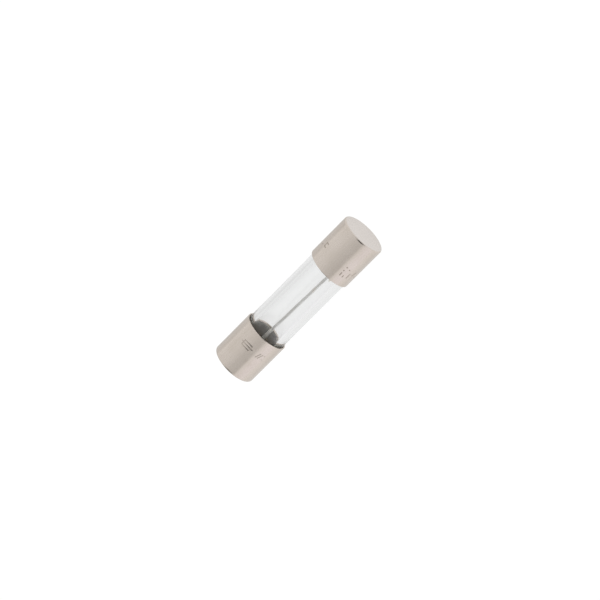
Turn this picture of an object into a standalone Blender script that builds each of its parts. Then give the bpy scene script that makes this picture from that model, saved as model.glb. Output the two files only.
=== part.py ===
"""Cartridge fuse, 5 x 20 mm class: a clear glass tube with two drawn metal end caps
and one straight fuse wire soldered between them.

Frame: metres, +Z up. The fuse lies along X, centred on the origin. Every turned
piece is a profile swept about its own local Z axis and then laid along X.
Run with:  blender --background --python part.py
"""
import math

import bpy
from mathutils import Matrix, Vector

MM = 0.001

# ---- driving dimensions ---------------------------------------------------
FUSE_LENGTH = 20.1 * MM      # over the two end faces
CAP_DIAMETER = 5.0 * MM      # outside of the caps
CAP_LENGTH = 5.27 * MM       # mouth to closed end
CAP_WALL = 0.155 * MM        # drawn side wall
CAP_END_WALL = 0.20 * MM     # closed end
CAP_CORNER = 0.22 * MM       # outer corner radius at the closed end
CAP_INNER_CORNER = 0.16 * MM
CAP_LIP = 0.055 * MM         # rounding of the mouth's outer edge
CAP_INNER_LIP = 0.095 * MM   # and of its inner edge

TUBE_DIAMETER = 4.58 * MM    # glass, outside
TUBE_BORE = 3.15 * MM        # glass, inside
TUBE_LENGTH = 19.10 * MM     # ends stop short of the caps' closed ends
TUBE_POLISH = 0.14 * MM      # fire-polished end corners

CEMENT_GAP = 0.010 * MM      # clearance on each side of the bonding layer
CEMENT_SETBACK = 0.15 * MM   # left: the layer stops short of the mouth
CEMENT_COLLAR = 0.04 * MM    # right: a thin edge of it stands proud of the mouth
CEMENT_DEPTH = 3.65 * MM     # how far it reaches in from the mouth

WIRE_DIAMETER = 0.325 * MM
WIRE_HALF_LENGTH = 9.72 * MM     # each end stops inside its solder
WIRE_OFFSET_Y = -0.365 * MM      # the wire misses the tube's axis at mid length
WIRE_SLOPE = -0.0292             # and leans sideways along its run

SOLDER_GAP = 0.02 * MM       # clearance to the cap, the glass and the wire
SOLDER_RIM = 2.15 * MM       # radius of the pool in the cap's floor
SOLDER_DOME = 0.30 * MM      # how far the pool rises into the bore
WICK_REACH_LEFT = 5.85 * MM  # solder drawn along the wire, from the fuse's end face
WICK_REACH_RIGHT = 2.60 * MM
WICK_TIP = 0.215 * MM         # radius of the solder where it ends on the wire
WICK_WAIST = 0.235 * MM
WICK_FOOT = 0.75 * MM

STEPS = 32                   # facets round every coaxial turned piece
WICK_STEPS = 16
HALF_STEP = math.pi / STEPS  # turns a flat facet, not an edge, to the bottom
MERGE = 1e-6

HALF = FUSE_LENGTH / 2
CAP_R = CAP_DIAMETER / 2
CAP_INNER_R = CAP_R - CAP_WALL
TUBE_R = TUBE_DIAMETER / 2
BORE_R = TUBE_BORE / 2


# ---- helpers --------------------------------------------------------------
def clear_scene():
    for obj in list(bpy.data.objects):
        bpy.data.objects.remove(obj, do_unlink=True)
    for block in (bpy.data.meshes, bpy.data.curves, bpy.data.materials, bpy.data.collections):
        for item in list(block):
            block.remove(item)


def collection(name):
    c = bpy.data.collections.new(name)
    bpy.context.scene.collection.children.link(c)
    return c


def material(name, color, roughness, metallic, transmission=0.0, ior=1.45):
    m = bpy.data.materials.new(name)
    m.use_nodes = True
    p = m.node_tree.nodes["Principled BSDF"]
    p.inputs["Base Color"].default_value = (*color, 1.0)
    p.inputs["Roughness"].default_value = roughness
    p.inputs["Metallic"].default_value = metallic
    p.inputs["Transmission Weight"].default_value = transmission
    p.inputs["IOR"].default_value = ior
    m.diffuse_color = (*color, 1.0)
    return m


def arc(cr, cz, radius, start, end, count):
    """Points of a circular arc in the profile plane, angles in degrees from +radius."""
    pts = []
    for i in range(count + 1):
        a = math.radians(start + (end - start) * i / count)
        pts.append((cr + radius * math.cos(a), cz + radius * math.sin(a)))
    return pts


def turned(name, profile, closed, steps, coll, mat=None):
    """A solid of revolution about local Z from (radius, height) points."""
    mesh = bpy.data.meshes.new(name)
    verts = [(r, 0.0, z) for r, z in profile]
    edges = [(i, i + 1) for i in range(len(verts) - 1)]
    if closed:
        edges.append((len(verts) - 1, 0))
    mesh.from_pydata(verts, edges, [])
    obj = bpy.data.objects.new(name, mesh)
    coll.objects.link(obj)
    screw = obj.modifiers.new("Turn", "SCREW")
    screw.axis = "Z"
    screw.angle = 2 * math.pi
    screw.steps = screw.render_steps = steps
    screw.use_merge_vertices = True
    screw.merge_threshold = MERGE
    screw.use_smooth_shade = True
    if mat:
        mesh.materials.append(mat)
    return obj


def lay_along_x(obj, side):
    """Local +Z points outwards along +X (side 1) or -X (side -1)."""
    obj.rotation_mode = "ZYX"
    obj.rotation_euler = (0.0, side * math.pi / 2, HALF_STEP)


def wire_point(x):
    return Vector((x, WIRE_OFFSET_Y + WIRE_SLOPE * x, 0.0))


# ---- profiles (radius, height along the fuse, measured from its middle) ----
def cap_profile():
    end, mouth = HALF, HALF - CAP_LENGTH
    floor = HALF - CAP_END_WALL
    pts = [(0.0, end)]
    pts += arc(CAP_R - CAP_CORNER, end - CAP_CORNER, CAP_CORNER, 90, 0, 6)
    pts += arc(CAP_R - CAP_LIP, mouth + CAP_LIP, CAP_LIP, 0, -90, 2)
    pts += arc(CAP_INNER_R + CAP_INNER_LIP, mouth + CAP_INNER_LIP, CAP_INNER_LIP, -90, -180, 2)
    pts += arc(CAP_INNER_R - CAP_INNER_CORNER, floor - CAP_INNER_CORNER, CAP_INNER_CORNER, 0, 90, 4)
    pts.append((0.0, floor))
    return pts


def tube_profile():
    e, p = TUBE_LENGTH / 2, TUBE_POLISH
    pts = arc(TUBE_R - p, e - p, p, 90, 0, 4)
    pts += arc(TUBE_R - p, -e + p, p, 0, -90, 4)
    pts += arc(BORE_R + p, -e + p, p, -90, -180, 4)
    pts += arc(BORE_R + p, e - p, p, 180, 90, 4)
    return pts


def cement_profile(proud):
    outer, inner = CAP_INNER_R - CEMENT_GAP, TUBE_R + CEMENT_GAP
    mouth = HALF - CAP_LENGTH
    low, high = mouth - proud, mouth + CEMENT_DEPTH
    return [(inner, high), (outer, high), (outer, low), (inner, low)]


def pool_profile():
    top = HALF - CAP_END_WALL - SOLDER_GAP
    foot = TUBE_LENGTH / 2 + SOLDER_GAP
    r_in = BORE_R - 2 * SOLDER_GAP
    pts = [(0.0, top), (SOLDER_RIM - 0.10 * MM, top), (SOLDER_RIM, top - 0.10 * MM), (SOLDER_RIM, foot), (r_in, foot)]
    for i in range(1, 6):                       # concave meniscus down to the middle
        u = i / 5
        pts.append((r_in * (1 - u), foot - SOLDER_DOME * math.sin(u * math.pi / 2)))
    return pts


def wick_profile(reach):
    """Solder round the wire: wide foot in the pool, long taper, height = distance along the wire."""
    foot = HALF - CAP_END_WALL - SOLDER_GAP - 0.12 * MM
    tip = HALF - reach
    pts = [(0.0, foot), (WICK_FOOT, foot)]
    count = 8
    for i in range(1, count + 1):
        u = i / count
        flare = (WICK_FOOT - WICK_WAIST) * (1 - u) ** 5
        taper = WICK_WAIST + (WICK_TIP - WICK_WAIST) * u ** 2
        pts.append((flare + taper, foot + (tip - foot) * u))
    pts.append((0.0, tip))
    return pts


# ---- build ------------------------------------------------------------------
clear_scene()
parts = collection("cartridge_fuse")
cutters = collection("cutters")

nickel = material("nickel_plated_brass", (0.66, 0.61, 0.53), 0.24, 1.0)
glass = material("clear_glass", (0.96, 0.98, 0.97), 0.02, 0.0, 1.0, 1.5)
tinned = material("tinned_wire", (0.55, 0.54, 0.50), 0.35, 1.0)
solder = material("solder", (0.50, 0.49, 0.46), 0.40, 1.0)
cement = material("cement", (0.78, 0.72, 0.58), 0.80, 0.0)

tube = turned("glass_tube", tube_profile(), True, STEPS, parts, glass)
lay_along_x(tube, 1)

for side, word, proud in ((-1, "left", -CEMENT_SETBACK), (1, "right", CEMENT_COLLAR)):
    cap = turned("end_cap_" + word, cap_profile(), False, STEPS, parts, nickel)
    lay_along_x(cap, side)
    ring = turned("cement_" + word, cement_profile(proud), True, STEPS, parts, cement)
    lay_along_x(ring, side)

# fuse wire: a round wire from solder to solder
curve = bpy.data.curves.new("fuse_wire", "CURVE")
curve.dimensions = "3D"
curve.resolution_u = 1
curve.render_resolution_u = 0
curve.bevel_depth = WIRE_DIAMETER / 2
curve.bevel_resolution = 3
curve.use_fill_caps = True
spline = curve.splines.new("POLY")
WIRE_POINTS = 9
spline.points.add(WIRE_POINTS - 1)
for i in range(WIRE_POINTS):
    x = -WIRE_HALF_LENGTH + 2 * WIRE_HALF_LENGTH * i / (WIRE_POINTS - 1)
    spline.points[i].co = (*wire_point(x), 1.0)
curve.materials.append(tinned)
wire = bpy.data.objects.new("fuse_wire", curve)
parts.objects.link(wire)

# solder: a pool in each cap's floor, drawn out along the wire
wire_dir = (wire_point(1.0) - wire_point(0.0)).normalized()
for side, word, reach in ((-1, "left", WICK_REACH_LEFT), (1, "right", WICK_REACH_RIGHT)):
    pool = turned("solder_" + word, pool_profile(), False, STEPS, parts, solder)
    lay_along_x(pool, side)

    wick = turned("wick_" + word, wick_profile(reach), False, WICK_STEPS, cutters)
    turn = Vector((0.0, 0.0, 1.0)).rotation_difference(wire_dir * side)
    wick.rotation_mode = "QUATERNION"
    wick.rotation_quaternion = turn
    wick.location = wire_point(0.0)

    depth = WIRE_HALF_LENGTH + SOLDER_GAP
    hole_r = WIRE_DIAMETER / 2 + SOLDER_GAP + 0.005 * MM
    hole = turned("hole_" + word, [(0.0, depth), (hole_r, depth), (hole_r, 2 * MM), (0.0, 2 * MM)], False, WICK_STEPS, cutters)
    hole.rotation_mode = "QUATERNION"
    hole.rotation_quaternion = turn
    hole.location = wire_point(0.0)

    for tool, operation in ((wick, "UNION"), (hole, "DIFFERENCE")):
        tool.hide_render = True
        tool.display_type = "WIRE"
        b = pool.modifiers.new(tool.name, "BOOLEAN")
        b.operation = operation
        b.solver = "EXACT"
        b.object = tool
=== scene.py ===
"""Looks of the 5 x 20 mm glass cartridge fuse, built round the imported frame.

The fuse lies along X on a pale floor. Angles round the fuse are counted from +Z towards -Y,
so that a positive angle is the side nearest the bottom right corner of the picture.
"""
import math

import bpy
import numpy as np
from mathutils import Matrix, Vector


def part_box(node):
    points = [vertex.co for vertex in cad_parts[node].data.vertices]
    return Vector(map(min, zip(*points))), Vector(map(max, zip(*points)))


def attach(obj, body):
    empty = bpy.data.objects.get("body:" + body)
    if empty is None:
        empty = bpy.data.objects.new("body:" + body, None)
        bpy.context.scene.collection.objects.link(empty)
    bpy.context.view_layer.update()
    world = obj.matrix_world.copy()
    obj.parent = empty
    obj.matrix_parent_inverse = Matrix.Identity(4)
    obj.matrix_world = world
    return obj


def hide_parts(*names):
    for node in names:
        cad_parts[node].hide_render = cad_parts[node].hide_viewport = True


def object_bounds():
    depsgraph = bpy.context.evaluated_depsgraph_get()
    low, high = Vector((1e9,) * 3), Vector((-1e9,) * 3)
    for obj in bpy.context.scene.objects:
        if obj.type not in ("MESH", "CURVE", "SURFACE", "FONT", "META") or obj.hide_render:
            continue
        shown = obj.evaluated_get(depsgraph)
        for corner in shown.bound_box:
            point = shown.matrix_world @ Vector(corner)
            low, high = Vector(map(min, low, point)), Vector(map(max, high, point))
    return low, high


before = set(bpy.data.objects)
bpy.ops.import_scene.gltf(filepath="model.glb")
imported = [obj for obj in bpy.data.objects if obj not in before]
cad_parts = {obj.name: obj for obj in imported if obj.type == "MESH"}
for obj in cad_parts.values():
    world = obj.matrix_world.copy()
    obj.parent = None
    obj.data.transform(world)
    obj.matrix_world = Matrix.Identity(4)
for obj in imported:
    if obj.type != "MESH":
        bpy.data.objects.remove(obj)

CAD_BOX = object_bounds()
MM = 0.001


# ---- sizes, read from the frame ---------------------------------------------
def size_of(node):
    lo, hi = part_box(node)
    return lo, hi


LO, HI = CAD_BOX
HALF = (HI.x - LO.x) / 2
cap_lo, cap_hi = size_of("end_cap_right")
CAP_MOUTH = cap_lo.x
MOUTH = {-1: CAP_MOUTH, 1: CAP_MOUTH}
CAP_R = 2.5 * MM
FLAT = math.cos(math.pi / 32)            # the frame's round pieces are 32-sided, flat side down
CAP_WALL = 0.155 * MM
CAP_END_WALL = 0.20 * MM
CAP_CORNER = 0.22 * MM
CAP_IN_CORNER = 0.16 * MM
CAP_LIP = 0.055 * MM
CAP_IN_LIP = 0.098 * MM
CAP_FLARE = 0.22 * MM                    # length of the flared inner edge at the mouth
tube_lo, tube_hi = size_of("glass_tube")
TUBE_HALF = tube_hi.x
TUBE_R = tube_hi.z / FLAT
BORE_R = 1.575 * MM
wire_lo, wire_hi = size_of("fuse_wire")
WIRE_R = (wire_hi.z - wire_lo.z) / 2 / math.cos(math.pi / 10)     # the frame's wire is a ten-sided rod, lying on a flat
WIRE_HALF = wire_hi.x
solder_l_lo, solder_l_hi = size_of("solder_left")
solder_r_lo, solder_r_hi = size_of("solder_right")
cement_r_lo, cement_r_hi = size_of("cement_right")
cement_l_lo, cement_l_hi = size_of("cement_left")
FLOOR_Z = LO.z - 0.012 * MM              # the round caps reach a little lower than the frame's flats


# ---- smooth repeatable noise --------------------------------------------------
def waves(seed, count, low, high):
    rng = np.random.RandomState(seed)
    return [(rng.uniform(low, high), rng.uniform(0, 2 * math.pi), rng.uniform(0.5, 1.0)) for _ in range(count)]


def ring_noise(angle, seed, count=5, low=1, high=9):
    """Sum of whole-number waves round the axis, so it closes; from about -1 to 1."""
    total, weight = 0.0, 0.0
    for f, p, a in waves(seed, count, low, high):
        total = total + a * np.sin(np.round(f) * angle + p)
        weight += a
    return total / weight * 1.6


def line_noise(x, seed, count=5, low=200.0, high=1500.0):
    total, weight = 0.0, 0.0
    for f, p, a in waves(seed, count, low, high):
        total = total + a * np.sin(f * x + p)
        weight += a
    return total / weight * 1.6


# ---- meshes -------------------------------------------------------------------
def make_mesh(name, verts, faces):
    """A smooth closed mesh whose faces point out."""
    mesh = bpy.data.meshes.new(name)
    mesh.from_pydata([tuple(v) for v in verts], [], faces)
    mesh.validate()
    mesh.calc_loop_triangles()
    tri = np.empty(len(mesh.loop_triangles) * 3, np.int32)
    mesh.loop_triangles.foreach_get("vertices", tri)
    co = np.asarray(verts, float)[tri.reshape(-1, 3)]
    volume = np.einsum("ij,ij->i", co[:, 0], np.cross(co[:, 1], co[:, 2])).sum() / 6
    if volume < 0:
        mesh.flip_normals()
    mesh.polygons.foreach_set("use_smooth", np.ones(len(mesh.polygons), bool))
    mesh.update()
    obj = bpy.data.objects.new(name, mesh)
    bpy.context.scene.collection.objects.link(obj)
    return obj


def lathe(name, profile, angles, shift=None, centre=None, loop=False, paint=None):
    """A body turned about X from (radius, x) points. shift bends the grid, centre moves each ring off the axis, paint gives named values to its points."""
    prof = np.array(profile, float)
    n, m = len(prof), len(angles)
    a = np.broadcast_to(np.asarray(angles, float)[None, :], (n, m))
    r = np.repeat(prof[:, :1], m, 1)
    x = np.repeat(prof[:, 1:], m, 1)
    painted = paint(r, x, a) if paint is not None else {}
    if shift is not None:
        r, x = shift(r, x, a)
    y, z = -r * np.sin(a), r * np.cos(a)
    if centre is not None:
        cy, cz = centre(prof[:, 1])
        y, z = y + cy[:, None], z + cz[:, None]
    verts, index = [], np.zeros((n, m), int)
    for i in range(n):
        if prof[i, 0] == 0.0:
            index[i] = len(verts)
            verts.append((x[i].mean(), y[i].mean(), z[i].mean()))
        else:
            index[i] = np.arange(len(verts), len(verts) + m)
            verts.extend(zip(x[i], y[i], z[i]))
    faces = []
    rows = range(n) if loop else range(n - 1)
    for i in rows:
        p, q = index[i], index[(i + 1) % n]
        p2, q2 = np.roll(p, -1), np.roll(q, -1)
        if prof[i, 0] == 0.0:
            faces += [(int(b), int(d), int(c)) for b, c, d in zip(p, q, q2)]
        elif prof[(i + 1) % n, 0] == 0.0:
            faces += [(int(b), int(e), int(c)) for b, c, e in zip(p, q, p2)]
        else:
            faces += [(int(b), int(e), int(d), int(c)) for b, c, d, e in zip(p, q, q2, p2)]
    obj = make_mesh(name, verts, faces)
    for key, grid in painted.items():
        values = np.zeros(len(verts), np.float32)
        values[index.ravel()] = np.broadcast_to(grid, (n, m)).ravel()
        obj.data.attributes.new(key, "FLOAT", "POINT").data.foreach_set("value", values)
    return obj


def around(count):
    return np.arange(count) * 2 * math.pi / count


def arc(cr, cx, radius, start, end, count):
    return [(cr + radius * math.cos(math.radians(start + (end - start) * i / count)),
             cx + radius * math.sin(math.radians(start + (end - start) * i / count))) for i in range(count + 1)]


def steps(a, b, count):
    """Points between a and b, with neither end."""
    return [(a[0] + (b[0] - a[0]) * i / count, a[1] + (b[1] - a[1]) * i / count) for i in range(1, count)]


# ---- stamped marks: generic strokes, in mm, u along the round and v along the fuse ----
def d_seg(u, v, a, b):
    ax, ay, bx, by = *a, *b
    dx, dy = bx - ax, by - ay
    k = np.clip(((u - ax) * dx + (v - ay) * dy) / (dx * dx + dy * dy), 0, 1)
    return np.hypot(u - ax - k * dx, v - ay - k * dy)


def d_box(u, v, c, half, rnd):
    qx, qy = np.abs(u - c[0]) - half[0] + rnd, np.abs(v - c[1]) - half[1] + rnd
    inside = np.minimum(np.maximum(qx, qy), 0)
    return np.abs(np.hypot(np.maximum(qx, 0), np.maximum(qy, 0)) + inside - rnd)


def d_dot(u, v, c, r):
    return np.maximum(np.hypot(u - c[0], v - c[1]) - r, 0)


def marks_left(u, v):
    """The circuit sign for a fuse, then slanted ticks and dots."""
    d = d_box(u, v, (-0.42, -6.55), (0.52, 0.30), 0.06)
    d = np.minimum(d, d_seg(u, v, (-1.16, -6.55), (0.32, -6.55)))
    d = np.minimum(d, d_seg(u, v, (1.02, -6.86), (1.28, -6.24)))
    d = np.minimum(d, d_seg(u, v, (1.30, -6.86), (1.56, -6.24)))
    d = np.minimum(d, d_dot(u, v, (1.86, -6.80), 0.012))
    d = np.minimum(d, d_dot(u, v, (1.86, -6.30), 0.012))
    for i in range(7):                                   # a row of short ticks on the far side
        d = np.minimum(d, d_seg(u, v, (-4.4 - 0.42 * i, -6.75), (-4.4 - 0.42 * i, -6.35 if i % 3 else -6.15)))
    d = np.minimum(d, d_box(u, v, (5.2, -6.55), (0.30, 0.30), 0.05))
    return np.minimum(d, d_seg(u, v, (4.2, -6.55), (4.6, -6.55)))


def marks_right(u, v):
    """Dashes, dots, a bracket and a small square, standing for the rating's place."""
    d = d_seg(u, v, (1.22, 5.86), (1.22, 6.20))
    d = np.minimum(d, d_dot(u, v, (1.22, 6.52), 0.024))
    d = np.minimum(d, d_dot(u, v, (1.26, 6.98), 0.024))
    d = np.minimum(d, d_seg(u, v, (1.62, 5.82), (1.62, 6.02)))
    d = np.minimum(d, d_dot(u, v, (1.72, 6.86), 0.024))
    d = np.minimum(d, d_seg(u, v, (2.15, 5.90), (2.15, 6.50)))
    d = np.minimum(d, d_seg(u, v, (2.55, 6.40), (2.75, 6.88)))
    d = np.minimum(d, d_dot(u, v, (3.10, 6.30), 0.024))
    for a, b in (((-2.30, 6.70), (-2.30, 7.16)), ((-2.30, 6.70), (-1.98, 6.70)), ((-2.30, 7.16), (-1.98, 7.16))):   # an open bracket
        d = np.minimum(d, d_seg(u, v, a, b))
    d = np.minimum(d, d_dot(u, v, (-2.85, 6.55), 0.024))
    for i in range(5):
        d = np.minimum(d, d_seg(u, v, (4.3 + 0.45 * i, 6.2), (4.3 + 0.45 * i, 6.8 if i % 2 else 6.5)))
    return np.minimum(d, d_box(u, v, (-4.6, 6.5), (0.45, 0.28), 0.06))


MARK_DEPTH = 0.028
MARK_WIDTH = 0.055


# ---- materials ------------------------------------------------------------------
class Nodes:
    """Short names for the shader nodes used here."""

    def __init__(self, name):
        self.mat = bpy.data.materials.new(name)
        self.mat.use_nodes = True
        self.nt = self.mat.node_tree
        self.bsdf = self.nt.nodes["Principled BSDF"]

    def put(self, kind, **values):
        n = self.nt.nodes.new(kind)
        for k, v in values.items():
            if k in n.inputs:
                n.inputs[k].default_value = v
            else:
                setattr(n, k, v)
        return n

    def link(self, a, b):
        self.nt.links.new(a, b)

    def object_coords(self, scale=(1, 1, 1)):
        t = self.put("ShaderNodeTexCoord")
        m = self.put("ShaderNodeMapping")
        m.inputs["Scale"].default_value = scale
        self.link(t.outputs["Object"], m.inputs["Vector"])
        return m.outputs[0]

    def noise(self, vector, scale, detail=4.0, rough=0.55):
        n = self.put("ShaderNodeTexNoise", Scale=scale, Detail=detail, Roughness=rough)
        self.link(vector, n.inputs["Vector"])
        return n.outputs["Fac"]

    def ramp(self, fac, stops):
        r = self.put("ShaderNodeValToRGB")
        e = r.color_ramp.elements
        while len(e) < len(stops):
            e.new(0.5)
        for el, (p, c) in zip(e, stops):
            el.position = p
            el.color = c if len(c) == 4 else (*c, 1.0)
        self.link(fac, r.inputs[0])
        return r.outputs[0]

    def range(self, fac, lo, hi, a=0.0, b=1.0):
        r = self.put("ShaderNodeMapRange")
        for i, v in zip(("From Min", "From Max", "To Min", "To Max"), (a, b, lo, hi)):
            r.inputs[i].default_value = v
        self.link(fac, r.inputs[0])
        return r.outputs[0]

    def mix(self, fac, a, b, blend="MIX"):
        m = self.put("ShaderNodeMix", data_type="RGBA", blend_type=blend)
        for socket, value in ((m.inputs[0], fac), (m.inputs[6], a), (m.inputs[7], b)):
            if isinstance(value, bpy.types.NodeSocket):
                self.link(value, socket)
            elif isinstance(value, tuple):
                socket.default_value = (*value, 1.0) if len(value) == 3 else value
            else:
                socket.default_value = value
        return m.outputs[2]

    def math(self, op, a, b=0.0):
        m = self.put("ShaderNodeMath", operation=op)
        for s, v in zip(m.inputs, (a, b)):
            if isinstance(v, bpy.types.NodeSocket):
                self.link(v, s)
            else:
                s.default_value = v
        return m.outputs[0]

    def bump(self, height, distance, strength=1.0):
        b = self.put("ShaderNodeBump", Strength=strength, Distance=distance)
        self.link(height, b.inputs["Height"])
        self.link(b.outputs[0], self.bsdf.inputs["Normal"])
        return b


def nickel_material():
    """Satin nickel over drawn brass: faint clouds, drawing lines along the fuse, hairlines, darker stamped marks, and
    end faces painted lighter than the sides as a painted highlight.
    """
    n = Nodes("nickel_plating")
    n.bsdf.inputs["Metallic"].default_value = 1.0
    body = n.object_coords()
    cloud = n.noise(body, 420.0, 3.0)
    fine = n.noise(body, 5200.0, 5.0, 0.65)
    drawn = n.noise(n.object_coords((180.0, 6500.0, 6500.0)), 1.0, 3.0, 0.6)
    hair = n.noise(n.object_coords((2600.0, 160.0, 160.0)), 1.0, 2.0, 0.5)
    tone = n.ramp(cloud, [(0.30, (0.640, 0.573, 0.510)), (0.70, (0.690, 0.622, 0.563))])
    # painted highlight: the flat end faces get a lighter tone than the sides, standing in for the light they catch
    at = n.put("ShaderNodeAttribute", attribute_name="face")
    tone = n.mix(at.outputs["Fac"], tone, (0.705, 0.655, 0.615))
    speck = n.ramp(fine, [(0.30, (0.94, 0.935, 0.92)), (0.48, (1.0, 1.0, 1.0))])
    tone = n.mix(1.0, tone, speck, "MULTIPLY")
    streak = n.ramp(drawn, [(0.36, (0.975, 0.97, 0.965)), (0.60, (1.0, 1.0, 1.0))])
    tone = n.mix(1.0, tone, streak, "MULTIPLY")
    # the stamped marks are darker and a little rougher along their grooves
    at = n.put("ShaderNodeAttribute", attribute_name="mark")
    tone = n.mix(at.outputs["Fac"], tone, n.mix(1.0, tone, (0.46, 0.435, 0.40), "MULTIPLY"))
    n.link(tone, n.bsdf.inputs["Base Color"])
    rough = n.range(n.math("ADD", n.math("MULTIPLY", cloud, 0.5), n.math("MULTIPLY", fine, 0.5)), 0.17, 0.31, 0.3, 0.7)
    rough = n.math("ADD", rough, n.math("MULTIPLY", at.outputs["Fac"], 0.15))
    n.link(rough, n.bsdf.inputs["Roughness"])
    height = n.math("ADD", n.math("MULTIPLY", drawn, 0.6), n.math("ADD", n.math("MULTIPLY", fine, 0.5), n.math("MULTIPLY", hair, 0.2)))
    n.bump(height, 0.0000012, 0.5)
    return n.mat


def glass_material():
    """Clear soda-lime tube, very slightly grey, with faint draw lines along it."""
    n = Nodes("clear_glass")
    n.bsdf.inputs["Base Color"].default_value = (0.982, 0.985, 0.983, 1.0)
    n.bsdf.inputs["Transmission Weight"].default_value = 1.0
    n.bsdf.inputs["IOR"].default_value = 1.5
    n.bsdf.inputs["Metallic"].default_value = 0.0
    lines = n.noise(n.object_coords((40.0, 2400.0, 2400.0)), 1.0, 3.0, 0.5)
    n.link(n.range(lines, 0.0, 0.012, 0.35, 0.75), n.bsdf.inputs["Roughness"])
    n.bump(lines, 0.0000009, 0.5)
    return n.mat


def wire_material():
    """Tinned copper: dull silver with die lines and a few warmer, thinly tinned stretches."""
    n = Nodes("tinned_copper")
    n.bsdf.inputs["Metallic"].default_value = 1.0
    lines = n.noise(n.object_coords((300.0, 16000.0, 16000.0)), 1.0, 3.0)
    patch = n.noise(n.object_coords((700.0, 500.0, 500.0)), 1.0, 3.0)
    tone = n.ramp(patch, [(0.35, (0.62, 0.61, 0.58)), (0.60, (0.72, 0.715, 0.69)), (0.80, (0.70, 0.64, 0.57))])
    tone = n.mix(1.0, tone, n.ramp(lines, [(0.3, (0.86, 0.86, 0.86)), (0.6, (1, 1, 1))]), "MULTIPLY")
    n.link(tone, n.bsdf.inputs["Base Color"])
    n.link(n.range(lines, 0.26, 0.42, 0.3, 0.7), n.bsdf.inputs["Roughness"])
    n.bump(lines, 0.0000015, 0.7)
    return n.mat


def solder_material():
    """Tin solder: frosty grain, flux-darkened hollows."""
    n = Nodes("tin_solder")
    n.bsdf.inputs["Metallic"].default_value = 1.0
    body = n.object_coords()
    grain = n.put("ShaderNodeTexVoronoi", Scale=9000.0)
    n.link(body, grain.inputs["Vector"])
    cloud = n.noise(body, 1600.0, 4.0)
    tone = n.ramp(cloud, [(0.25, (0.82, 0.79, 0.71)), (0.42, (0.93, 0.91, 0.85)), (0.75, (0.96, 0.95, 0.91))])
    n.link(tone, n.bsdf.inputs["Base Color"])
    n.link(n.range(grain.outputs["Distance"], 0.58, 0.78, 0.0, 0.7), n.bsdf.inputs["Roughness"])
    height = n.math("ADD", n.math("MULTIPLY", grain.outputs["Distance"], 0.5), n.math("MULTIPLY", cloud, 1.2))
    n.bump(height, 0.0000035, 0.5)
    return n.mat


def cement_material():
    """Cream ceramic cement: chalky, with grains and a few darker specks, and painted shade deeper inside the cap."""
    n = Nodes("cement_cream")
    n.bsdf.inputs["Metallic"].default_value = 0.0
    body = n.object_coords()
    grain = n.noise(body, 14000.0, 4.0, 0.7)
    cloud = n.noise(body, 1800.0, 3.0)
    tone = n.ramp(cloud, [(0.35, (0.93, 0.90, 0.82)), (0.65, (0.97, 0.945, 0.88))])
    # painted shade: the cement's colour darkens from cream at the cap's mouth to brown-grey deeper inside the cap,
    # standing in for the shade in there
    at = n.put("ShaderNodeAttribute", attribute_name="deep")
    tone = n.mix(1.0, tone, n.ramp(at.outputs["Fac"], [(0.0, (1.0, 1.0, 1.0)), (0.10, (0.93, 0.93, 0.92)), (0.17, (0.80, 0.80, 0.79)), (0.30, (0.60, 0.59, 0.56)), (0.51, (0.46, 0.43, 0.38)), (1.0, (0.38, 0.315, 0.25))]), "MULTIPLY")
    tone = n.mix(1.0, tone, n.ramp(grain, [(0.26, (0.82, 0.79, 0.74)), (0.40, (1, 1, 1))]), "MULTIPLY")
    n.link(tone, n.bsdf.inputs["Base Color"])
    n.link(n.range(grain, 0.70, 0.92, 0.3, 0.7), n.bsdf.inputs["Roughness"])
    n.bump(grain, 0.000002, 0.6)
    return n.mat


# ---- pieces ---------------------------------------------------------------------
def cap_profile(side, fine):
    """From the middle of the end face, down the outside, round the mouth's lip, to the inside of the end wall."""
    e, m = HALF, MOUTH[side]
    flat = CAP_R - CAP_CORNER
    pts = [(0.0, e)] + [(flat * k, e) for k in (0.12, 0.3, 0.5, 0.7, 0.85, 0.95, 0.985)]
    pts += arc(flat, e - CAP_CORNER, CAP_CORNER, 90, 0, 12)
    top, low = (CAP_R, e - CAP_CORNER), (CAP_R, m + CAP_LIP)
    pts += steps(top, (CAP_R, fine[1]), max(2, int((top[1] - fine[1]) / (0.12 * MM))))
    pts += [(CAP_R, fine[1])] + steps((CAP_R, fine[1]), (CAP_R, fine[0]), int((fine[1] - fine[0]) / (0.026 * MM)))
    pts += [(CAP_R, fine[0])] + steps((CAP_R, fine[0]), low, max(2, int((fine[0] - low[1]) / (0.12 * MM))))
    pts += arc(CAP_R - CAP_LIP, m + CAP_LIP, CAP_LIP, 0, -90, 7)
    inner = CAP_R - CAP_WALL
    pts += [(inner + CAP_IN_LIP - CAP_IN_LIP * math.sin(k * math.pi / 14), m + CAP_FLARE * (1 - math.cos(k * math.pi / 14))) for k in range(8)]
    floor = e - CAP_END_WALL
    pts += steps((inner, m + CAP_FLARE), (inner, floor - CAP_IN_CORNER), 12)
    pts += arc(inner - CAP_IN_CORNER, floor - CAP_IN_CORNER, CAP_IN_CORNER, 0, 90, 6)
    pts += steps((inner - CAP_IN_CORNER, floor), (0.0, floor), 5)
    pts.append((0.0, floor))
    return [(r, side * x) for r, x in pts]


def trim(side, a):
    """How far, in metres, the mouth is cut back from square at each angle: a press tool never trims a cup quite true."""
    return (0.045 * (1 - np.cos(a)) if side < 0 else 0.039 - 0.0885 * np.sin(a)) * MM


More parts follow.
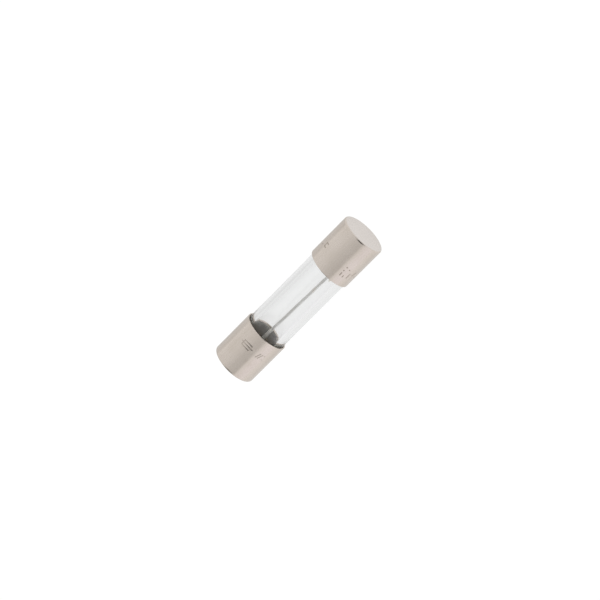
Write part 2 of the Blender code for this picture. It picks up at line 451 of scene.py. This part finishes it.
def end_cap(name, side, marks, fine, seed, groove_darkening):
    prof = cap_profile(side, fine)

    def shift(r, x, a):
        h = x * side
        wall = np.clip((r - (CAP_R - CAP_CORNER)) / (CAP_CORNER * 0.5), 0, 1)
        body = wall * np.clip((h - MOUTH[side]) / (0.4 * MM), 0, 1)
        u = CAP_R / MM * ((a + math.pi) % (2 * math.pi) - math.pi)
        d = marks(u, x / MM)
        on_side = (r > CAP_R - 1e-7) & (h < HALF - CAP_CORNER + 1e-9)
        groove = np.where(on_side, MARK_DEPTH * MM * np.exp(-(d / MARK_WIDTH) ** 2), 0.0)
        raised = np.where(on_side, 0.0035 * MM * np.exp(-((d - 0.10) / 0.045) ** 2), 0.0)
        out = 0.004 * MM * ring_noise(a, seed, 4, 2, 6) * body
        out = out + 0.002 * MM * line_noise(x, seed + 3) * body
        face = np.where(r < CAP_R - CAP_CORNER + 1e-9, 1.0, 0.0) * (h > HALF - 1e-7)
        dish = -0.012 * MM * (1 - np.clip(r / (CAP_R - CAP_CORNER), 0, 1) ** 4) * face
        near = np.clip(1 - (h - MOUTH[side]) / (0.6 * MM), 0, 1)
        return r + out + raised - groove, x + side * (dish + trim(side, a) * near)

    def paint(r, x, a):
        h = x * side
        u = CAP_R / MM * ((a + math.pi) % (2 * math.pi) - math.pi)
        on_side = (r > CAP_R - 1e-7) & (h < HALF - CAP_CORNER + 1e-9)
        mark = np.where(on_side, groove_darkening * np.exp(-(marks(u, x / MM) / (MARK_WIDTH * 0.9)) ** 2), 0.0)
        # face marks the flat end face, which the nickel paints lighter as a painted highlight
        face = np.clip((h - (HALF - 0.06 * MM)) / (0.06 * MM), 0, 1)
        return {"mark": mark, "face": face}

    return lathe(name, prof, around(448), shift, paint=paint)


def glass_tube():
    p = 0.14 * MM
    e = TUBE_HALF
    pts = arc(TUBE_R - p, e - p, p, 90, 0, 7)
    pts += steps((TUBE_R, e - p), (TUBE_R, -e + p), 40)
    pts += arc(TUBE_R - p, -e + p, p, 0, -90, 7)
    pts += arc(BORE_R + p, -e + p, p, -90, -180, 7)
    pts += steps((BORE_R, -e + p), (BORE_R, e - p), 40)
    pts += arc(BORE_R + p, e - p, p, 180, 90, 7)

    def shift(r, x, a):
        outside = r > (TUBE_R + BORE_R) / 2
        out = 0.0022 * MM * ring_noise(a, 11, 6, 2, 11) * np.where(outside, 1.0, 0.0)
        inn = 0.0040 * MM * ring_noise(a, 12, 6, 2, 11) * np.where(outside, 0.0, 1.0)
        return r + out + inn, x

    return lathe("glass_tube_clear", pts, around(256), shift, loop=True)


def wire_line(x):
    """Sideways place of the wire: a straight lean, with the slight waves of a soft strand."""
    middle, lean = (wire_lo.y + wire_hi.y) / 2, (wire_lo.y - wire_hi.y + 2 * WIRE_R) / (2 * WIRE_HALF)
    sag = 0.012 * MM * np.sin(x / MM * 0.9 + 0.6) + 0.006 * MM * np.sin(x / MM * 2.3)
    return middle + lean * x + 0.006 * MM * np.sin(x / MM * 1.9 + 2.0), sag


def fuse_wire():
    xs = np.linspace(-WIRE_HALF, WIRE_HALF, 220)
    pts = [(0.0, -WIRE_HALF)] + [(WIRE_R, x) for x in xs] + [(0.0, WIRE_HALF)]

    def shift(r, x, a):
        return r * (1 + 0.02 * line_noise(x, 21, 6, 900.0, 5200.0) + 0.012 * ring_noise(a, 22, 4, 2, 6)), x

    return lathe("fuse_wire_strand", pts, around(32), shift, centre=wire_line)


def solder(name, side, reach, seed):
    """A pool in the cap's floor that climbs the wire as a long taper. Ring centres move from the fuse's axis to the wire's."""
    top = HALF - CAP_END_WALL - 0.02 * MM
    foot = TUBE_HALF + 0.02 * MM
    rim = 2.15 * MM
    r_in = BORE_R - 0.04 * MM
    pts = [(0.0, top), (0.8 * MM, top), (1.6 * MM, top)] + arc(rim - 0.1 * MM, top - 0.1 * MM, 0.1 * MM, 90, 0, 5)
    pts += steps((rim, top - 0.1 * MM), (rim, foot), 3) + [(rim, foot)]
    pts += steps((rim, foot), (r_in, foot), 4) + [(r_in, foot)]
    tip = reach
    count = 90
    for i in range(1, count + 1):                     # meniscus, flare, taper, and a last short run-out on to the wire
        k = i / count
        h = foot + (tip - foot) * k ** 1.35
        drop = (foot - h) / MM
        pool = (r_in / MM) * math.exp(-drop / 0.17)
        flare = 0.52 * math.exp(-drop / 0.95)
        taper = 0.252 - 0.055 * k
        end = min(1.0, (h - tip) / (0.40 * MM))
        r = (pool + flare + taper) * MM
        r = min(r, r_in)
        pts.append((WIRE_R * 0.985 + (r - WIRE_R * 0.985) * math.sin(end * math.pi / 2) ** 0.9 if end < 1 else r, h))
    pts.append((0.0, tip))

    def shift(r, x, a):
        h = x * side
        inner = np.clip((foot - h) / (0.3 * MM), 0, 1)
        near = np.clip((h - tip) / (0.8 * MM), 0, 1)
        lump = 0.010 * ring_noise(a + h / MM * 0.4, seed, 4, 1, 4) + 0.012 * line_noise(x, seed + 1, 5, 700.0, 3200.0)
        return r * (1 + lump * inner * near), x

    def centre(x):
        h = x * side
        w = np.clip((foot - h) / (0.55 * MM), 0, 1)
        w = w * w * (3 - 2 * w)
        y, z = wire_line(x)
        return y * w, z * w

    return lathe(name, [(r, side * h) for r, h in pts], around(64), shift, centre)


def cement(name, side, seed, reach, fat):
    """The bonding layer between glass and cap. reach (mm) is how far its edge stands out of the cap's mouth at each angle, fat how thick it bulges there."""
    inner, outer = TUBE_R + 0.006 * MM, CAP_R - CAP_WALL - 0.005 * MM
    high, m, tail = CAP_MOUTH + 3.65 * MM, MOUTH[side], 0.40 * MM
    pts = [(inner, high)] + steps((inner, high), (outer, high), 2) + [(outer, high)]
    pts += steps((outer, high), (outer, m + tail), 18)
    pts += [(outer, m + tail * (1 - q)) for q in (0, 0.2, 0.4, 0.52, 0.62, 0.70, 0.77, 0.83, 0.88, 0.92, 0.95, 0.975, 0.99, 1.0)]
    pts += [(inner, m + tail * (1 - q)) for q in (1.0, 0.8, 0.55, 0.3, 0.0)]
    pts += steps((inner, m + tail), (inner, high), 18)

    def shift(r, x, a):
        h = x * side
        q = np.clip((m + tail - h) / tail, 0, 1)
        u = (a + math.pi) % (2 * math.pi) - math.pi
        out = (reach(u) + 0.012 * ring_noise(a, seed, 6, 2, 13)) * MM - trim(side, a)
        out = np.maximum(out, -0.36 * MM)
        h2 = np.where(h < m + tail, m + tail - q * (tail + out), h)
        skin = r > (inner + outer) / 2
        bulge = fat(u) * MM * np.clip((m + 0.06 * MM - h2) / (0.08 * MM), 0, 1)
        tip = np.sqrt(np.clip(1 - (np.clip(q - 0.72, 0, 1) / 0.28) ** 2, 0, 1))
        r2 = inner + 0.002 * MM + (r + bulge - inner - 0.002 * MM) * tip
        return np.where(skin, r2, r), side * h2

    def paint(r, x, a):
        # deep: how far in from the mouth, 0 to 1 over 1.5 mm, which sets the cement's painted shade
        return {"deep": np.clip((shift(r, x, a)[1] * side - m - trim(side, a)) / (1.5 * MM), 0, 1)}

    return lathe(name, [(r, side * h) for r, h in pts], around(512), shift, loop=True, paint=paint)


def bump_at(u, at, wide):
    return np.exp(-((u - at) / wide) ** 2)


nickel, glass, tinned, tin, cream = nickel_material(), glass_material(), wire_material(), solder_material(), cement_material()


def dress(obj, material, node):
    obj.data.materials.append(material)
    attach(obj, "root")
    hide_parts(node)


dress(end_cap("end_cap_left_shell", -1, marks_left, (5.6 * MM, 7.45 * MM), 31, 0.60), nickel, "end_cap_left")
dress(end_cap("end_cap_right_shell", 1, marks_right, (5.35 * MM, 7.45 * MM), 37, 1.0), nickel, "end_cap_right")
dress(glass_tube(), glass, "glass_tube")
dress(fuse_wire(), tinned, "fuse_wire")
dress(solder("solder_left_fillet", -1, -solder_l_hi.x, 41), tin, "solder_left")
dress(solder("solder_right_fillet", 1, solder_r_lo.x, 47), tin, "solder_right")
LEFT_EDGE = (-CAP_MOUTH - cement_l_hi.x) / MM
RIGHT_EDGE = (CAP_MOUTH - cement_r_lo.x) / MM
dress(cement("cement_left_ring", -1, 51, lambda u: -LEFT_EDGE + 0.03 * bump_at(u, 1.9, 0.3), lambda u: 0.0 * u), cream, "cement_left")
dress(cement("cement_right_ring", 1, 57,
             lambda u: RIGHT_EDGE + 0.26 * bump_at(u, 0.39, 0.05) + 0.02 * bump_at(u, -0.62, 0.09) + 0.06 * bump_at(u, 2.4, 0.12),
             lambda u: 0.004 + 0.05 * bump_at(u, 0.39, 0.06) + 0.03 * bump_at(u, 2.4, 0.12)), cream, "cement_right")


# ---- floor --------------------------------------------------------------------
bpy.ops.mesh.primitive_plane_add(size=3.0, location=(0, 0, FLOOR_Z))
floor = bpy.context.object
floor.name = "floor"
fm = bpy.data.materials.new("floor_white")
fm.use_nodes = True
nt = fm.node_tree
fb = nt.nodes["Principled BSDF"]
fb.inputs["Base Color"].default_value = (0.10, 0.10, 0.10, 1)
fb.inputs["Roughness"].default_value = 0.9
fb.inputs["Specular IOR Level"].default_value = 0.1
fb.inputs["Emission Color"].default_value = (1, 1, 1, 1)
# the bare floor is lit past white; what the metal and glass gather from it is a little less, with a painted shadow of
# the fuse and a painted darker strip further out on the +Y side across it, seen only in reflections and through the
# glass
place = nt.nodes.new("ShaderNodeNewGeometry")
xyz = nt.nodes.new("ShaderNodeSeparateXYZ")
nt.links.new(place.outputs["Position"], xyz.inputs[0])
band = nt.nodes.new("ShaderNodeMapRange")
band.inputs["From Min"].default_value, band.inputs["From Max"].default_value = -0.020, 0.030
nt.links.new(xyz.outputs["Y"], band.inputs[0])
shade = nt.nodes.new("ShaderNodeValToRGB")
# painted shadow levels along Y in mm: the fuse's shadow close in on both sides, and a painted darker strip near +13 to
# +16.5 mm
LEVELS = [(-20, 1.0), (-12, 0.97), (-7.6, 0.90), (-3.3, 0.90), (-2.2, 0.89), (-1.6, 0.925), (-0.9, 0.94), (-0.2, 0.955), (0.5, 0.975), (1.0, 0.955),
          (1.8, 0.92), (2.4, 0.89), (3.0, 0.85), (3.6, 0.81), (4.4, 0.79), (5.6, 0.84), (7.6, 0.84), (9.5, 0.84), (13, 0.80), (16.5, 0.78), (22.5, 0.93), (30, 1.0)]
while len(shade.color_ramp.elements) < len(LEVELS):
    shade.color_ramp.elements.new(0.5)
for el, (y, v) in zip(shade.color_ramp.elements, LEVELS):
    v = 0.965 * v - 0.095
    el.position, el.color = (y + 20) / 50, (v, v, v, 1)
nt.links.new(band.outputs[0], shade.inputs[0])
beyond = nt.nodes.new("ShaderNodeMapRange")
beyond.inputs["From Min"].default_value, beyond.inputs["From Max"].default_value = 0.0095, 0.0115
nt.links.new(xyz.outputs["X"], beyond.inputs[0])
lit = nt.nodes.new("ShaderNodeMix")
lit.data_type = "RGBA"
nt.links.new(beyond.outputs[0], lit.inputs[0])
nt.links.new(shade.outputs[0], lit.inputs[6])
lit.inputs[7].default_value = (0.87, 0.87, 0.87, 1)
ray = nt.nodes.new("ShaderNodeLightPath")
pick = nt.nodes.new("ShaderNodeMix")
pick.data_type = "RGBA"
nt.links.new(ray.outputs["Is Camera Ray"], pick.inputs[0])
nt.links.new(lit.outputs[2], pick.inputs[6])
pick.inputs[7].default_value = (0.96, 0.96, 0.96, 1)
nt.links.new(pick.outputs[2], fb.inputs["Emission Strength"])
floor.data.materials.append(fm)


# ---- world: a white tent, darker overhead where the photographer stands ---------
def studio_world():
    w = bpy.data.worlds.new("studio")
    bpy.context.scene.world = w
    w.use_nodes = True
    nt = w.node_tree
    bg = nt.nodes["Background"]
    coords = nt.nodes.new("ShaderNodeTexCoord")
    xyz = nt.nodes.new("ShaderNodeSeparateXYZ")
    nt.links.new(coords.outputs["Generated"], xyz.inputs[0])
    flip = nt.nodes.new("ShaderNodeMath")
    flip.operation = "MULTIPLY"
    flip.inputs[1].default_value = -1.0
    nt.links.new(xyz.outputs["Y"], flip.inputs[0])
    turn = nt.nodes.new("ShaderNodeMath")
    turn.operation = "ARCTAN2"
    nt.links.new(flip.outputs[0], turn.inputs[0])
    nt.links.new(xyz.outputs["Z"], turn.inputs[1])
    span = nt.nodes.new("ShaderNodeMapRange")
    span.inputs["From Min"].default_value = -math.pi
    span.inputs["From Max"].default_value = math.pi
    nt.links.new(turn.outputs[0], span.inputs[0])
    ramp = nt.nodes.new("ShaderNodeValToRGB")
    warm, cool = (1.0, 1.0, 1.0), (1.0, 0.985, 1.03)
    levels = [(-180, 0.92, warm), (-95, 0.88, warm), (-62, 0.87, warm), (-40, 0.85, warm), (-15, 0.79, warm), (10, 0.73, warm),
              (32, 0.64, warm), (39, 0.95, warm), (60, 1.02, cool), (95, 1.04, cool), (180, 1.0, cool)]
    e = ramp.color_ramp.elements
    while len(e) < len(levels):
        e.new(0.5)
    for el, (deg, v, tint) in zip(e, levels):
        el.position = (deg + 180) / 360
        el.color = (*(v * t for t in tint), 1)
    nt.links.new(span.outputs[0], ramp.inputs[0])
    seen = ramp.outputs[0]
    # dark things in the room: the camera with whoever stands behind it, past the right end, and the unlit end of the room past the left
    for low, high, wide, level in (((0.985, -0.17, 0.02), (0.40, -0.22, 0.89), 15.0, 0.10), ((-0.99, 0.0, 0.10), (-0.76, 0.0, 0.65), 17.0, 0.14)):
        low, high = Vector(low).normalized(), Vector(high).normalized()
        # the nearest point of the straight line between the two directions, then the angle to it
        run = high - low
        off = nt.nodes.new("ShaderNodeVectorMath")
        off.operation = "SUBTRACT"
        nt.links.new(coords.outputs["Generated"], off.inputs[0])
        off.inputs[1].default_value = low
        along = nt.nodes.new("ShaderNodeVectorMath")
        along.operation = "DOT_PRODUCT"
        nt.links.new(off.outputs[0], along.inputs[0])
        along.inputs[1].default_value = run / run.length_squared
        part = nt.nodes.new("ShaderNodeMapRange")
        part.clamp = True
        nt.links.new(along.outputs["Value"], part.inputs[0])
        stretch = nt.nodes.new("ShaderNodeVectorMath")
        stretch.operation = "SCALE"
        stretch.inputs[0].default_value = run
        nt.links.new(part.outputs[0], stretch.inputs["Scale"])
        apart = nt.nodes.new("ShaderNodeVectorMath")
        apart.operation = "DISTANCE"
        nt.links.new(off.outputs[0], apart.inputs[0])
        nt.links.new(stretch.outputs[0], apart.inputs[1])
        near = nt.nodes.new("ShaderNodeMapRange")
        near.interpolation_type = "SMOOTHSTEP"
        near.inputs["From Min"].default_value = math.radians(wide + 5)
        near.inputs["From Max"].default_value = math.radians(wide - 5)
        near.clamp = True
        nt.links.new(apart.outputs["Value"], near.inputs[0])
        dark = nt.nodes.new("ShaderNodeMix")
        dark.data_type = "RGBA"
        nt.links.new(near.outputs[0], dark.inputs[0])
        nt.links.new(seen, dark.inputs[6])
        dark.inputs[7].default_value = (level, level, level, 1)
        seen = dark.outputs[2]
    path = nt.nodes.new("ShaderNodeLightPath")
    mix = nt.nodes.new("ShaderNodeMix")
    mix.data_type = "RGBA"
    nt.links.new(path.outputs["Is Camera Ray"], mix.inputs[0])
    nt.links.new(seen, mix.inputs[6])
    mix.inputs[7].default_value = (1, 1, 1, 1)
    nt.links.new(mix.outputs[2], bg.inputs["Color"])
    bg.inputs["Strength"].default_value = 1.0


studio_world()


# ---- camera --------------------------------------------------------------------
TILT = math.radians(20.48)           # the view leans this far off square to the fuse, towards +X
DISTANCE = 0.270
PX_PER_MM = 9.796                    # at the fuse's middle, on a 600-wide picture
ROLL = math.radians(44.9 + 0.148)    # the fuse's +X, up from the picture's horizontal
# the fuse's middle in the picture, from the centre, in pixels, right and down
AT = (299.0 - 300.0, 299.5 - 300.0)
S0, T0 = -0.956, -0.355

back = Vector((math.sin(TILT), 0, math.cos(TILT)))
e_s = Vector((math.cos(TILT), 0, -math.sin(TILT)))
e_t = Vector((0, -1, 0))
right = math.cos(ROLL) * e_s + math.sin(ROLL) * e_t
up = math.sin(ROLL) * e_s - math.cos(ROLL) * e_t
cam_data = bpy.data.cameras.new("camera")
cam = bpy.data.objects.new("camera", cam_data)
bpy.context.scene.collection.objects.link(cam)
cam_data.sensor_width = 36.0
cam_data.lens = 36.0 * PX_PER_MM * (DISTANCE / MM) / 600.0
off_right = (AT[0] + S0 * math.cos(ROLL) + T0 * math.sin(ROLL)) / PX_PER_MM * MM
off_down = (AT[1] - S0 * math.sin(ROLL) + T0 * math.cos(ROLL)) / PX_PER_MM * MM
place = back * DISTANCE - right * off_right + up * off_down
cam.matrix_world = Matrix((
    (right.x, up.x, back.x, place.x),
    (right.y, up.y, back.y, place.y),
    (right.z, up.z, back.z, place.z),
    (0, 0, 0, 1)))
cam_data.clip_start, cam_data.clip_end = 0.01, 10.0
bpy.context.scene.camera = cam

scene = bpy.context.scene
scene.view_settings.view_transform = "Standard"
scene.view_settings.look = "None"
scene.cycles.max_bounces = 24
scene.cycles.transmission_bounces = 24
scene.cycles.glossy_bounces = 12
scene.cycles.diffuse_bounces = 3
